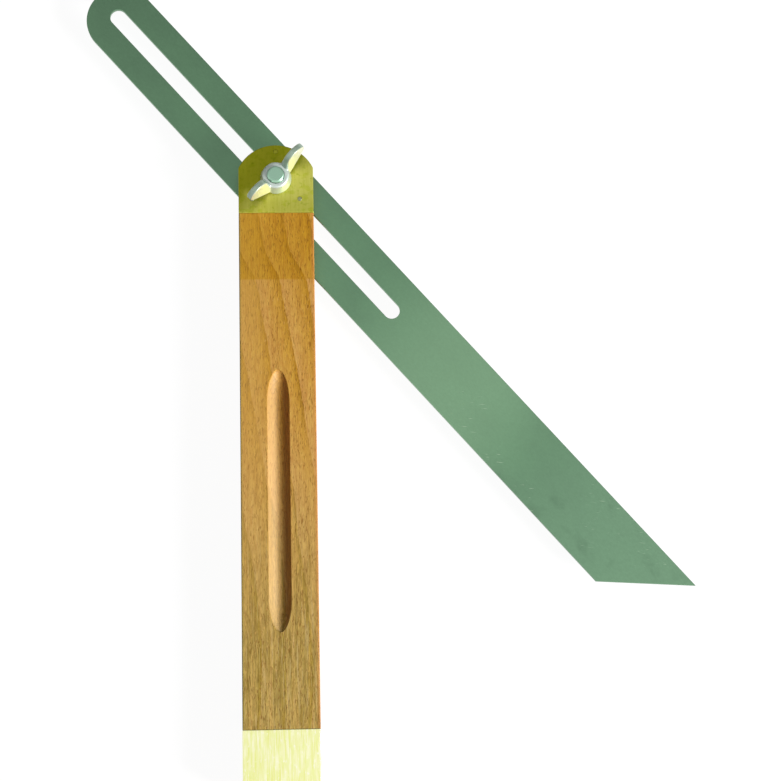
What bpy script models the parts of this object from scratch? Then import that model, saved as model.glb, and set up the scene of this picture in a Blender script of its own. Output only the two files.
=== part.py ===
"""A sliding bevel, for setting out and copying angles.

A beech stock, sawn up its middle by a kerf, holds a slotted steel blade. The blade turns
and slides on a bolt through the head of the stock, and a wing nut clamps it there. Brass
plates face the head, and a folded brass cap covers the butt.

The origin is the middle of the butt end face. +Y runs up the stock to its head, +Z comes
out of the front face, where the wing nut is, and the blade points to the +X side.
Lengths are in metres.
"""

from math import acos, cos, degrees, pi, radians, sin, sqrt, tan

import bmesh
import bpy
from mathutils import Matrix

# Stock
STOCK_LENGTH = 0.228
STOCK_WIDTH = 0.0263
STOCK_THICKNESS = 0.020
STOCK_EDGE_ROUND = 0.0006
HEAD_RISE = 0.0083
PIVOT_FROM_HEAD = 0.0124
SOLID_BUTT_LENGTH = 0.030

# Finger grooves, one in each face of the stock
GROOVE_FROM_BUTT = 0.057
GROOVE_LENGTH = 0.0905
GROOVE_WIDTH = 0.0079
GROOVE_DEPTH = 0.003
GROOVE_END_RUN = 0.0115

# Brass plates and cap
BRASS_THICKNESS = 0.0015
BRASS_PROUD = 0.0003
HEAD_PLATE_LENGTH = 0.0246
BUTT_CAP_LENGTH = 0.0247
CAP_BEND_INSIDE = 0.0005
PLATE_EDGE_CHAMFER = 0.0002

# Pins that hold the brass
PIN_DIAMETER = 0.0015
PIN_POINT_LENGTH = 0.0008
PIN_FROM_KERF = 0.002
PIN_FROM_SIDE = 0.0048
PIN_FROM_PLATE_EDGE = 0.005
TOP_PIN_FROM_HEAD = 0.0024
CAP_PIN_FROM_END = 0.005

# Blade
BLADE_LENGTH = 0.300
BLADE_WIDTH = 0.0248
BLADE_THICKNESS = 0.0016
BLADE_PAST_BOLT = 0.0956
BLADE_POINT_ANGLE = 45.0
BLADE_EDGE_CHAMFER = 0.00015
SLOT_WIDTH = 0.0058
SLOT_LENGTH = 0.1515
SLOT_FROM_ROUND_END = 0.008
BLADE_REST_ANGLE = 41.55

# Bolt
BOLT_DIAMETER = 0.006
BOLT_END_CHAMFER = 0.0007
BOLT_PAST_NUT = 0.0013
BOLT_FLATS_HEIGHT = 0.0032
BOLT_HEAD_DIAMETER = 0.0115
BOLT_HEAD_RIM = 0.0003
BOLT_HEAD_SUNK = 0.0001

# Wing nut
HUB_BASE_DIAMETER = 0.0112
HUB_TOP_DIAMETER = 0.0092
HUB_HEIGHT = 0.0050
HUB_TOP_ROUND = 0.0006
HUB_MOUTH_CHAMFER = 0.0003
WING_SPAN = 0.0265
WING_HEIGHT = 0.0130
WING_LOBE_RADIUS = 0.0041
WING_FOOT_HEIGHT = 0.0009
WING_ROOT_THICKNESS = 0.0044
WING_LOBE_THICKNESS = 0.0021
WING_EDGE_ROUND = 0.0006
WING_ROOT_SHARE = 0.35
WING_REST_ANGLE = 45.0

# Fits
SEAT_GAP = 0.0003
PIN_GAP = 0.0002
CUTTER_OVERRUN = 0.002
MERGE_DISTANCE = 0.000001
FLAT_ANGLE = 0.5

# Fineness of the round forms
HEAD_ARC_STEPS = 40
ROUND_STEPS = 48
PIN_STEPS = 16
GROOVE_STEPS = 32
GROOVE_END_STEPS = 9
SLOT_END_STEPS = 24
BEND_STEPS = 6
LOBE_STEPS = 40
LOBE_EDGE_STEPS = 2

# Places that follow from the sizes
PIVOT_Y = STOCK_LENGTH - PIVOT_FROM_HEAD
HEAD_ARC_RADIUS = (HEAD_RISE**2 + (STOCK_WIDTH / 2) ** 2) / (2 * HEAD_RISE)
HEAD_ARC_Y = STOCK_LENGTH - HEAD_ARC_RADIUS
PLATE_FOOT_Y = STOCK_LENGTH - HEAD_PLATE_LENGTH
KERF_HALF = BLADE_THICKNESS / 2 + SEAT_GAP
BRASS_FACE_Z = STOCK_THICKNESS / 2 + BRASS_PROUD
BRASS_BACK_Z = BRASS_FACE_Z - BRASS_THICKNESS
RECESS_FLOOR_Z = BRASS_BACK_Z - SEAT_GAP
PIN_LENGTH = BRASS_FACE_Z - KERF_HALF - PIN_FROM_KERF
BOLT_BORE_RADIUS = BOLT_DIAMETER / 2 + SEAT_GAP
BOLT_HEAD_BACK_Z = -BRASS_FACE_Z + BOLT_HEAD_SUNK
NUT_SEAT_Z = BRASS_FACE_Z + SEAT_GAP
BOLT_END_Z = NUT_SEAT_Z + HUB_HEIGHT + BOLT_PAST_NUT


def clear_scene():
    """Remove whatever the scene holds."""
    for item in list(bpy.data.objects):
        bpy.data.objects.remove(item, do_unlink=True)


def make_material(name, colour, metallic, roughness):
    """A plain finish: linear colour, metallic share and roughness."""
    material = bpy.data.materials.new(name)
    material.use_nodes = True
    shader = material.node_tree.nodes["Principled BSDF"]
    shader.inputs["Base Color"].default_value = (*colour, 1.0)
    shader.inputs["Metallic"].default_value = metallic
    shader.inputs["Roughness"].default_value = roughness
    material.diffuse_color = (*colour, 1.0)
    return material


def add_object(name, form, finish=None, parent=None):
    """Put a finished bmesh into the scene under its own name."""
    bmesh.ops.recalc_face_normals(form, faces=form.faces[:])
    mesh = bpy.data.meshes.new(name)
    form.to_mesh(mesh)
    form.free()
    mesh.shade_smooth()
    mesh.set_sharp_from_angle(angle=radians(35.0))
    item = bpy.data.objects.new(name, mesh)
    bpy.context.scene.collection.objects.link(item)
    item.parent = parent
    if finish is not None:
        mesh.materials.append(make_material(name + "_finish", *finish))
    return item


def cut(piece, name, form, parent=None):
    """Take a form away from a piece with a live Boolean."""
    cutter = add_object(name, form, parent=parent)
    cutter.hide_render = True
    cutter.display_type = "WIRE"
    modifier = piece.modifiers.new(name, "BOOLEAN")
    modifier.operation = "DIFFERENCE"
    modifier.solver = "EXACT"
    modifier.object = cutter


def arc(centre_x, centre_y, radius, start, end, steps):
    """Points along an arc, both ends included; the angles are in degrees."""
    angles = [radians(start + (end - start) * step / steps) for step in range(steps + 1)]
    return [(centre_x + radius * cos(angle), centre_y + radius * sin(angle)) for angle in angles]


def prism(outline, low, high):
    """An outline in X and Y, extruded from one height to another."""
    form = bmesh.new()
    face = form.faces.new([form.verts.new((x, y, low)) for x, y in outline])
    extruded = bmesh.ops.extrude_face_region(form, geom=[face])["geom"]
    top = [part for part in extruded if isinstance(part, bmesh.types.BMVert)]
    bmesh.ops.translate(form, verts=top, vec=(0, 0, high - low))
    return form


def block(low, high):
    """A box between two opposite corners."""
    outline = [(low[0], low[1]), (high[0], low[1]), (high[0], high[1]), (low[0], high[1])]
    return prism(outline, low[2], high[2])


def turned(profile, steps, closed=False):
    """A solid of revolution about Z from points of radius and height.

    An open profile starts and ends on the axis; a closed one stays clear of it.
    """
    form = bmesh.new()
    verts = [form.verts.new((radius, 0, height)) for radius, height in profile]
    pairs = list(zip(verts, verts[1:]))
    if closed:
        pairs.append((verts[-1], verts[0]))
    edges = [form.edges.new(pair) for pair in pairs]
    bmesh.ops.spin(
        form, geom=verts + edges, cent=(0, 0, 0), axis=(0, 0, 1), angle=2 * pi, steps=steps
    )
    bmesh.ops.remove_doubles(form, verts=form.verts[:], dist=MERGE_DISTANCE)
    return form


def placed(form, matrix):
    """The same form, moved by a matrix."""
    bmesh.ops.transform(form, matrix=matrix, verts=form.verts[:])
    return form


def gathered(forms):
    """Several forms, clear of each other, as one."""
    whole = bmesh.new()
    for form in forms:
        copy = bpy.data.meshes.new("gathered")
        form.to_mesh(copy)
        form.free()
        whole.from_mesh(copy)
        bpy.data.meshes.remove(copy)
    return whole


def bevel_edges(form, chosen, width, segments):
    """Round or chamfer the edges that pass a test."""
    edges = [edge for edge in form.edges if chosen(edge)]
    bmesh.ops.bevel(
        form, geom=edges, offset=width, segments=segments, profile=0.5, affect="EDGES"
    )


def rim_edges(height):
    """A test for edges that lie flat at one height."""
    return lambda edge: all(abs(vert.co.z - height) < MERGE_DISTANCE for vert in edge.verts)


def head_arc():
    """The rounded end of the stock and of its plates, from the right side to the left."""
    shoulder_angle = degrees(acos(STOCK_WIDTH / 2 / HEAD_ARC_RADIUS))
    return arc(0, HEAD_ARC_Y, HEAD_ARC_RADIUS, shoulder_angle, 180.0 - shoulder_angle, HEAD_ARC_STEPS)


def mirrored_faces():
    """The two ways a feature of the front face is placed: in the front and in the back."""
    return {"front": Matrix.Identity(4), "back": Matrix.Rotation(pi, 4, "Y")}


def head_pin_places():
    """Middle of each pin of a head plate, by name."""
    side = STOCK_WIDTH / 2 - PIN_FROM_SIDE
    foot = PLATE_FOOT_Y + PIN_FROM_PLATE_EDGE
    return {"left": (-side, foot), "right": (side, foot), "top": (0, STOCK_LENGTH - TOP_PIN_FROM_HEAD)}


def cap_pin_places():
    """Middle of each pin of one leg of the butt cap, by name."""
    side = STOCK_WIDTH / 2 - PIN_FROM_SIDE
    return {"left": (-side, CAP_PIN_FROM_END), "right": (side, CAP_PIN_FROM_END)}


def pin_hole(x, y):
    """A cutter for one pin hole in the front face, with room around the pin."""
    radius = PIN_DIAMETER / 2 + PIN_GAP
    low = BRASS_FACE_Z - PIN_LENGTH - SEAT_GAP
    profile = [(0, low), (radius, low), (radius, BRASS_FACE_Z + CUTTER_OVERRUN)]
    profile.append((0, BRASS_FACE_Z + CUTTER_OVERRUN))
    return placed(turned(profile, PIN_STEPS), Matrix.Translation((x, y, 0)))


def pin_holes(places, turns):
    """Cutters for the holes of several pins, in each of the given faces."""
    return gathered([placed(pin_hole(x, y), turn) for turn in turns for x, y in places])


def bolt_bore():
    """A cutter for the bolt's hole through the whole head."""
    reach = BRASS_FACE_Z + CUTTER_OVERRUN
    profile = [(0, -reach), (BOLT_BORE_RADIUS, -reach), (BOLT_BORE_RADIUS, reach), (0, reach)]
    return placed(turned(profile, ROUND_STEPS), Matrix.Translation((0, PIVOT_Y, 0)))


def bolt_countersink():
    """A cutter for the conical seat of the bolt's head in the back face."""
    rim = BOLT_HEAD_DIAMETER / 2 + SEAT_GAP
    cone_foot = BOLT_HEAD_BACK_Z + BOLT_HEAD_RIM
    cone_top = cone_foot + (BOLT_HEAD_DIAMETER - BOLT_DIAMETER) / 2
    outside = -BRASS_FACE_Z - CUTTER_OVERRUN
    profile = [(0, outside), (rim, outside), (rim, cone_foot), (BOLT_BORE_RADIUS, cone_top)]
    profile.append((0, cone_top))
    return placed(turned(profile, ROUND_STEPS), Matrix.Translation((0, PIVOT_Y, 0)))


def groove_spindle():
    """A cutter for the finger groove in the front face.

    It is a spindle along Y, round in section, that leaves an even trough with ends that
    run out like an ellipse, as a cutter wheel with a round edge does.
    """
    radius = ((GROOVE_WIDTH / 2) ** 2 + GROOVE_DEPTH**2) / (2 * GROOVE_DEPTH)
    axis_height = STOCK_THICKNESS / 2 + radius - GROOVE_DEPTH
    above_face = radius - GROOVE_DEPTH
    end_run = GROOVE_END_RUN / sqrt(1 - (above_face / radius) ** 2)
    straight = GROOVE_LENGTH / 2 - GROOVE_END_RUN
    run_out = [radians(90.0 * step / GROOVE_END_STEPS) for step in range(GROOVE_END_STEPS + 1)]
    far_end = [(radius * cos(angle), straight + end_run * sin(angle)) for angle in run_out]
    near_end = [(across, -along) for across, along in reversed(far_end)]
    middle_y = GROOVE_FROM_BUTT + GROOVE_LENGTH / 2
    along_y = Matrix.Translation((0, middle_y, axis_height)) @ Matrix.Rotation(-pi / 2, 4, "X")
    return placed(turned(near_end + far_end, GROOVE_STEPS), along_y)


def recess(foot_y, top_y):
    """A cutter for the shallow seat of brass in the front face."""
    side = STOCK_WIDTH / 2 + CUTTER_OVERRUN
    return block((-side, foot_y, RECESS_FLOOR_Z), (side, top_y, STOCK_THICKNESS / 2 + CUTTER_OVERRUN))


def make_stock():
    """The beech stock: rounded head, kerf, seats for the brass, bores and grooves."""
    half_width = STOCK_WIDTH / 2
    half_thickness = STOCK_THICKNESS / 2
    end_y = BRASS_THICKNESS + SEAT_GAP
    outline = [(-half_width, end_y), (half_width, end_y)] + head_arc()
    form = prism(outline, -half_thickness, half_thickness)
    for height in (-half_thickness, half_thickness):
        bevel_edges(form, rim_edges(height), STOCK_EDGE_ROUND, 2)
    stock = add_object("stock", form, ((0.50, 0.27, 0.085), 0.0, 0.5))
    beyond = STOCK_LENGTH + CUTTER_OVERRUN
    side = half_width + CUTTER_OVERRUN
    turns = list(mirrored_faces().values())
    cut(stock, "stock_bore_cutter", bolt_bore())
    cut(stock, "stock_countersink_cutter", bolt_countersink())
    cut(stock, "groove_cutter", gathered([placed(groove_spindle(), turn) for turn in turns]))
    places = list(head_pin_places().values()) + list(cap_pin_places().values())
    cut(stock, "stock_pin_cutter", pin_holes(places, turns))
    cut(stock, "kerf_cutter", block((-side, SOLID_BUTT_LENGTH, -KERF_HALF), (side, beyond, KERF_HALF)))
    seats = [placed(recess(PLATE_FOOT_Y - SEAT_GAP, beyond), turn) for turn in turns]
    seats += [placed(recess(-CUTTER_OVERRUN, BUTT_CAP_LENGTH + SEAT_GAP), turn) for turn in turns]
    cut(stock, "recess_cutter", gathered(seats))


def make_head_plates():
    """Two brass plates, one let into each side of the head; the back one is countersunk."""
    half_width = STOCK_WIDTH / 2
    outline = [(-half_width, PLATE_FOOT_Y), (half_width, PLATE_FOOT_Y)] + head_arc()
    for side, turn in mirrored_faces().items():
        form = prism(outline, BRASS_BACK_Z, BRASS_FACE_Z)
        bevel_edges(form, rim_edges(BRASS_FACE_Z), PLATE_EDGE_CHAMFER, 1)
        plate = add_object(side + "_head_plate", placed(form, turn), ((0.40, 0.36, 0.08), 1.0, 0.35))
        cut(plate, side + "_plate_bore_cutter", bolt_bore())
        places = head_pin_places().values()
        cut(plate, side + "_plate_pin_cutter", pin_holes(places, [turn]))
        if side == "back":
            cut(plate, "plate_countersink_cutter", bolt_countersink())


def make_butt_cap():
    """One strip of brass folded round the butt: a leg on each face and the end between."""
    inner = BRASS_BACK_Z
    outer = BRASS_FACE_Z
    bend = CAP_BEND_INSIDE
    outside_bend = bend + BRASS_THICKNESS
    corner = outer - outside_bend
    outline = [(BUTT_CAP_LENGTH, outer)]
    outline += arc(outside_bend, corner, outside_bend, 90.0, 180.0, BEND_STEPS)
    outline += arc(outside_bend, -corner, outside_bend, 180.0, 270.0, BEND_STEPS)
    outline += [(BUTT_CAP_LENGTH, -outer), (BUTT_CAP_LENGTH, -inner)]
    outline += arc(outside_bend, -corner, bend, 270.0, 180.0, BEND_STEPS)
    outline += arc(outside_bend, corner, bend, 180.0, 90.0, BEND_STEPS)
    outline += [(BUTT_CAP_LENGTH, inner)]
    form = prism(outline, -STOCK_WIDTH / 2, STOCK_WIDTH / 2)
    across = Matrix(((0, 0, 1, 0), (1, 0, 0, 0), (0, 1, 0, 0), (0, 0, 0, 1)))
    cap = add_object("butt_cap", placed(form, across), ((0.80, 0.78, 0.42), 1.0, 0.3))
    turns = list(mirrored_faces().values())
    cut(cap, "cap_pin_cutter", pin_holes(cap_pin_places().values(), turns))


def make_pins():
    """The pins of both head plates and of both legs of the cap, each its own piece."""
    radius = PIN_DIAMETER / 2
    point = BRASS_FACE_Z - PIN_LENGTH
    profile = [(0, point), (radius / 2, point), (radius, point + PIN_POINT_LENGTH)]
    profile += [(radius, BRASS_FACE_Z), (0, BRASS_FACE_Z)]
    finish = ((0.42, 0.40, 0.33), 1.0, 0.4)
    for side, turn in mirrored_faces().items():
        for kind, places in (("plate", head_pin_places()), ("cap", cap_pin_places())):
            for place, (x, y) in places.items():
                form = placed(turned(profile, PIN_STEPS), Matrix.Translation((x, y, 0)))
                add_object(f"{side}_{kind}_pin_{place}", placed(form, turn), finish)


def make_swivel_axis():
    """The guide that carries what turns on the bolt's axis; its X runs along the blade."""
    axis = bpy.data.objects.new("swivel_axis", None)
    bpy.context.scene.collection.objects.link(axis)
    axis.location = (0, PIVOT_Y, 0)
    axis.rotation_euler = (0, 0, radians(BLADE_REST_ANGLE - 90.0))
    return axis


def make_blade(axis):
    """The slotted blade: one round end, and one end cut to a point."""
    half_width = BLADE_WIDTH / 2
    half_thickness = BLADE_THICKNESS / 2
    tip = BLADE_LENGTH - BLADE_PAST_BOLT
    heel = tip - BLADE_WIDTH / tan(radians(BLADE_POINT_ANGLE))
    outline = arc(half_width - BLADE_PAST_BOLT, 0, half_width, 90.0, 270.0, HEAD_ARC_STEPS)
    outline += [(heel, -half_width), (tip, half_width)]
    form = prism(outline, -half_thickness, half_thickness)
    for height in (-half_thickness, half_thickness):
        bevel_edges(form, rim_edges(height), BLADE_EDGE_CHAMFER, 1)
    blade = add_object("blade", form, ((0.18, 0.27, 0.20), 0.9, 0.42), parent=axis)
    slot_radius = SLOT_WIDTH / 2
    slot_start = SLOT_FROM_ROUND_END - BLADE_PAST_BOLT + slot_radius
    slot_end = slot_start + SLOT_LENGTH - SLOT_WIDTH
    slot = arc(slot_start, 0, slot_radius, 90.0, 270.0, SLOT_END_STEPS)
    slot += arc(slot_end, 0, slot_radius, 270.0, 450.0, SLOT_END_STEPS)
    reach = half_thickness + CUTTER_OVERRUN
    cut(blade, "slot_cutter", prism(slot, -reach, reach), parent=axis)


def make_clamp_bolt(axis):
    """The bolt: a countersunk head at the back, and two flats that run in the blade's slot."""
    radius = BOLT_DIAMETER / 2
    head_radius = BOLT_HEAD_DIAMETER / 2
    rim = BOLT_HEAD_BACK_Z + BOLT_HEAD_RIM
    profile = [(0, BOLT_HEAD_BACK_Z), (head_radius, BOLT_HEAD_BACK_Z), (head_radius, rim)]
    profile += [(radius, rim + head_radius - radius), (radius, BOLT_END_Z - BOLT_END_CHAMFER)]
    profile += [(radius - BOLT_END_CHAMFER, BOLT_END_Z), (0, BOLT_END_Z)]
    finish = ((0.30, 0.42, 0.34), 0.9, 0.35)
    bolt = add_object("clamp_bolt", turned(profile, ROUND_STEPS), finish, parent=axis)
    flat = SLOT_WIDTH / 2 - SEAT_GAP
    beyond = radius + CUTTER_OVERRUN
    height = BOLT_FLATS_HEIGHT / 2
    flats = [block((-beyond, flat, -height), (beyond, beyond, height))]
    flats.append(block((-beyond, -beyond, -height), (beyond, -flat, height)))
    cut(bolt, "flats_cutter", gathered(flats), parent=axis)


def lobe_points(centre_x, centre_z):
    """Rings of points round the lobe of a wing, which round its edge off on both faces."""
    points = []
    for step in range(LOBE_EDGE_STEPS + 1):
        angle = radians(90.0 * step / LOBE_EDGE_STEPS)
        radius = WING_LOBE_RADIUS - WING_EDGE_ROUND * (1 - cos(angle))
        depth = WING_LOBE_THICKNESS / 2 - WING_EDGE_ROUND * (1 - sin(angle))
        ring = arc(centre_x, centre_z, radius, 0, 360.0, LOBE_STEPS)[:-1]
        points += [(x, side, z) for side in (-depth, depth) for x, z in ring]
    return points


def wing():
    """One forged wing: a round lobe that broadens downwards into a wide root in the hub.

    The root starts inside the hub's wall, at a share of the way from the bore outwards.
    """
    slope = (HUB_BASE_DIAMETER - HUB_TOP_DIAMETER) / 2 / HUB_HEIGHT
    foot_x = HUB_BASE_DIAMETER / 2 - slope * WING_FOOT_HEIGHT
    inside = BOLT_BORE_RADIUS + (foot_x - BOLT_BORE_RADIUS) * WING_ROOT_SHARE
    points = lobe_points(WING_SPAN / 2 - WING_LOBE_RADIUS, WING_HEIGHT - WING_LOBE_RADIUS)
    for way in (-1, 1):
        root_side = way * WING_ROOT_THICKNESS / 2
        points += [(inside, root_side, WING_FOOT_HEIGHT), (foot_x, root_side, WING_FOOT_HEIGHT)]
        points.append((inside, way * WING_LOBE_THICKNESS / 2, HUB_HEIGHT - HUB_TOP_ROUND))
    form = bmesh.new()
    for point in points:
        form.verts.new(point)
    hull = bmesh.ops.convex_hull(form, input=form.verts[:])
    inner = [part for part in hull["geom_interior"] if isinstance(part, bmesh.types.BMVert)]
    bmesh.ops.delete(form, geom=inner, context="VERTS")
    bmesh.ops.dissolve_limit(
        form, angle_limit=radians(FLAT_ANGLE), verts=form.verts[:], edges=form.edges[:]
    )
    return form


def make_wing_nut(axis):
    """The wing nut: a tapered hub with a bore, and two wings forged in one with it."""
    base = HUB_BASE_DIAMETER / 2
    top = HUB_TOP_DIAMETER / 2
    mouth = BOLT_BORE_RADIUS + HUB_MOUTH_CHAMFER
    profile = [(BOLT_BORE_RADIUS, HUB_MOUTH_CHAMFER), (mouth, 0), (base, 0)]
    profile += arc(top - HUB_TOP_ROUND, HUB_HEIGHT - HUB_TOP_ROUND, HUB_TOP_ROUND, 0, 90.0, BEND_STEPS)
    profile += [(mouth, HUB_HEIGHT), (BOLT_BORE_RADIUS, HUB_HEIGHT - HUB_MOUTH_CHAMFER)]
    finish = ((0.55, 0.62, 0.50), 1.0, 0.3)
    nut = add_object("wing_nut", turned(profile, ROUND_STEPS, closed=True), finish, parent=axis)
    nut.location = (0, 0, NUT_SEAT_Z)
    nut.rotation_euler = (0, 0, radians(WING_REST_ANGLE) - axis.rotation_euler.z)
    wings = gathered([wing(), placed(wing(), Matrix.Rotation(pi, 4, "Z"))])
    guide = add_object("wings_guide", wings, parent=nut)
    guide.hide_render = True
    guide.display_type = "WIRE"
    union = nut.modifiers.new("wings", "BOOLEAN")
    union.operation = "UNION"
    union.solver = "EXACT"
    union.object = guide


def main():
    """Build every piece."""
    clear_scene()
    make_stock()
    make_head_plates()
    make_butt_cap()
    make_pins()
    axis = make_swivel_axis()
    make_blade(axis)
    make_clamp_bolt(axis)
    make_wing_nut(axis)
    bpy.context.view_layer.update()


main()
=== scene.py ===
"""The looks of the sliding bevel: its finished pieces, their finishes, the light and the camera.

Lengths are in metres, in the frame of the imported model: the origin is the middle of the butt
end, +Y runs up the stock to its head, and +Z comes out of the front, where the wing nut is.
"""

from math import cos, pi, radians, sin, sqrt

import bmesh
import bpy
from mathutils import Matrix, Vector


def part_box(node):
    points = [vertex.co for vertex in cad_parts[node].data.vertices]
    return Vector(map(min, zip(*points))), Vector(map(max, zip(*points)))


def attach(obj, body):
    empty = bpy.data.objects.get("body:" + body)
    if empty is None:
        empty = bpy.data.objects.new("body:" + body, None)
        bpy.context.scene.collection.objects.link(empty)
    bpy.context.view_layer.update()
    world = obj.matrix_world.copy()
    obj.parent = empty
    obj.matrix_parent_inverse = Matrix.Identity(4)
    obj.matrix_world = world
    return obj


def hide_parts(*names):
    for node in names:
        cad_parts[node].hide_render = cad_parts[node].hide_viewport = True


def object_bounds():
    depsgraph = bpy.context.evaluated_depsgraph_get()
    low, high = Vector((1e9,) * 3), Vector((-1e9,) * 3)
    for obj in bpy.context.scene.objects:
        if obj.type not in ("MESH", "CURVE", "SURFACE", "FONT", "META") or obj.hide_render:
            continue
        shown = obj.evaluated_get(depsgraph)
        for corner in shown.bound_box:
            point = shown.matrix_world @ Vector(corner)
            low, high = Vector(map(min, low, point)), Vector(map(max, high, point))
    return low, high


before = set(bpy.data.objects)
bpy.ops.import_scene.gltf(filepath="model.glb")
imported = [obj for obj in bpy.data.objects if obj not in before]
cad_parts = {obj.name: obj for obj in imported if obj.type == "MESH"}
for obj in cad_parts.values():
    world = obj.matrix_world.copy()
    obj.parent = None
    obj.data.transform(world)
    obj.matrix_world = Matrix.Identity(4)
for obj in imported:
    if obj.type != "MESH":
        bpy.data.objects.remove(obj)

model_low, model_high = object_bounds()
stock_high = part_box("stock")[1]
plate_low, plate_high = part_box("front_head_plate")
cap_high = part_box("butt_cap")[1]
pin_low, pin_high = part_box("front_plate_pin_top")
bolt_low, bolt_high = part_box("clamp_bolt")
nut_low, nut_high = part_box("wing_nut")
blade_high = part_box("blade")[1]

# Stock
HALF_WIDTH = stock_high.x
STOCK_TOP = stock_high.y
HALF_THICKNESS = 0.010
EDGE_ROUND = 0.0006
HEAD_RISE = 0.0083
SOLID_BUTT_LENGTH = 0.030
PIVOT = Vector((0, 0.2156, 0))

# Finger grooves
GROOVE_MIDDLE = 0.10225
GROOVE_LENGTH = 0.0905
GROOVE_WIDTH = 0.0079
GROOVE_DEPTH = 0.003
GROOVE_END_RUN = 0.0115

# Brass
BRASS_FACE = plate_high.z
BRASS_THICKNESS = plate_high.z - plate_low.z
PLATE_FOOT = plate_low.y
CAP_LENGTH = cap_high.y
CAP_BEND = 0.002
CAP_BEND_STEPS = 10
BRASS_EDGE_ROUND = 0.00025

# Pins, by the middle of each in X and Y
PIN_RADIUS = (pin_high.x - pin_low.x) / 2
PIN_POINT = 0.0008
PIN_RIM = 0.0001
PLATE_PINS = {
    place: sum(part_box("front_plate_pin_" + place), Vector()) / 2
    for place in ("left", "right", "top")
}
CAP_PINS = {
    place: sum(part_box("front_cap_pin_" + place), Vector()) / 2 for place in ("left", "right")
}

# Blade, with its rest angle from the stock
HALF_BLADE = blade_high.z
BLADE_WIDTH = 0.0248
BLADE_LENGTH = 0.300
BLADE_PAST_BOLT = 0.0956
BLADE_POINT_ANGLE = radians(45.0)
BLADE_EDGE_ROUND = 0.00015
SLOT_WIDTH = 0.0058
SLOT_LENGTH = 0.1515
SLOT_FROM_ROUND_END = 0.008
BLADE_TURN = radians(41.55 - 90.0)

# Bolt
BOLT_RADIUS = 0.003
BOLT_END = bolt_high.z
BOLT_HEAD_RADIUS = 0.00575
BOLT_HEAD_RIM = 0.0003
BOLT_END_CHAMFER = 0.0007
BOLT_FLATS_HEIGHT = 0.0032
BOLT_FLATS_WIDTH = 0.0052
THREAD_PITCH = 0.001
THREAD_DEPTH = 0.0005
THREAD_TURNS = 7
THREAD_HALF_MOUTH = THREAD_PITCH * 0.46

# Wing nut
NUT_SEAT = nut_low.z
HUB_BASE_RADIUS = 0.0056
HUB_TOP_RADIUS = 0.0046
HUB_HEIGHT = 0.0050
HUB_TOP_ROUND = 0.0006
WING_SPAN = 0.0265
WING_HEIGHT = nut_high.z - nut_low.z
LOBE_RADIUS = 0.0041
WING_FOOT_HEIGHT = 0.0009
WING_ROOT_THICKNESS = 0.0044
WING_LOBE_THICKNESS = 0.0021
WING_ROOT_SHARE = 0.35
WING_TURN = radians(45.0)
FORGING_GRAIN = 0.00016
FORGING_ROUNDS = 26
FORGING_STRENGTH = 0.5

# Fits that show: hairlines between pieces that touch
SEAM = 0.00006
PIN_SEAM = 0.00004
KERF_HALF = HALF_BLADE + 0.00015
BORE_CLEARANCE = 0.00012
SLOT_CLEARANCE = 0.00004
OVERRUN = 0.002

# Fineness of the round forms
HEAD_SIDES = 192
ROUND_SIDES = 96
PIN_SIDES = 32
SLOT_SIDES = 98
LOBE_SIDES = 64
SPINDLE_SIDES = 96
SPINDLE_RINGS = 65
THREAD_STEPS = 48
SMOOTH_ANGLE = radians(35.0)
BEVEL_ANGLE = radians(30.0)
FACING = cos(radians(5.0))

# Beech: its growth rings, and the height above which the stock is darker
RING_SPACING = 0.0088
RING_TURN_Y = 0.045
RING_BOW = 0.03
RING_SLOPE = 0.17
RING_KINK_LOW = 0.1775
RING_KINK_HIGH = 0.1925
RING_KINK = 0.0036
RING_DEPTH_SLOPE = 0.6
RING_START = 0.0020
DARKER_FOOT_Y = 0.1795

# Colours that others are multiplied or overlaid with
# The olive of the nut's shadow painted on the head plates
PAINTED_SHADE_OLIVE = (0.47, 0.49, 0.12, 1)
EVEN = (0.5, 0.5, 0.5, 1)
WHITE = (1, 1, 1, 1)

# Light and floor
KEY_BEARING = radians(-28.0)
KEY_HEIGHT = radians(34.0)
KEY_DISTANCE = 1.3
KEY_SIZE = 0.45
KEY_WATTS = 23.0
DOME_LEVEL = 0.17
HEADWARD_LEVEL = 0.42
SHADE_STARTS = 0.22
SHADE_ENDS = 0.34
FLOOR_SIZE = 8.0
FLOOR_GLOW = 0.95
FLOOR_COLOUR = (0.82, 0.82, 0.82, 1)
FLOOR_SHADOW_COLOUR = (0.11, 0.11, 0.11, 1)

# Camera
CAMERA_PLACE = (0.00291, 0.03429, 0.64906)
CAMERA_TURN = (radians(9.412), radians(-3.021), radians(-1.167))
CAMERA_LENS = 86.13
CAMERA_SENSOR = 36.0
CAMERA_NEAR = 0.01


def edit(kind, chosen):
    """Go into edit mode with only the vertices, edges or faces that pass a test selected."""
    bpy.ops.object.mode_set(mode="EDIT")
    bpy.ops.mesh.select_mode(type=kind)
    bpy.ops.mesh.select_all(action="DESELECT")
    mesh = bpy.context.edit_object.data
    form = bmesh.from_edit_mesh(mesh)
    form.normal_update()
    parts = {"VERT": form.verts, "EDGE": form.edges, "FACE": form.faces}[kind]
    for part in parts:
        if chosen(part):
            part.select_set(True)
    bmesh.update_edit_mesh(mesh)


def leave_edit():
    """Go back to object mode and give back the active piece."""
    bpy.ops.object.mode_set(mode="OBJECT")
    return bpy.context.object


def everything(part):
    """A test that every part of a mesh passes."""
    return True


def facing(direction):
    """A test for faces that point in one direction."""
    aim = Vector(direction)
    return lambda face: face.normal.dot(aim) > FACING


def settle():
    """Bring the active piece's place, turn and scale into its mesh."""
    bpy.ops.object.transform_apply(location=True, rotation=True, scale=True)
    return bpy.context.object


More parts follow.
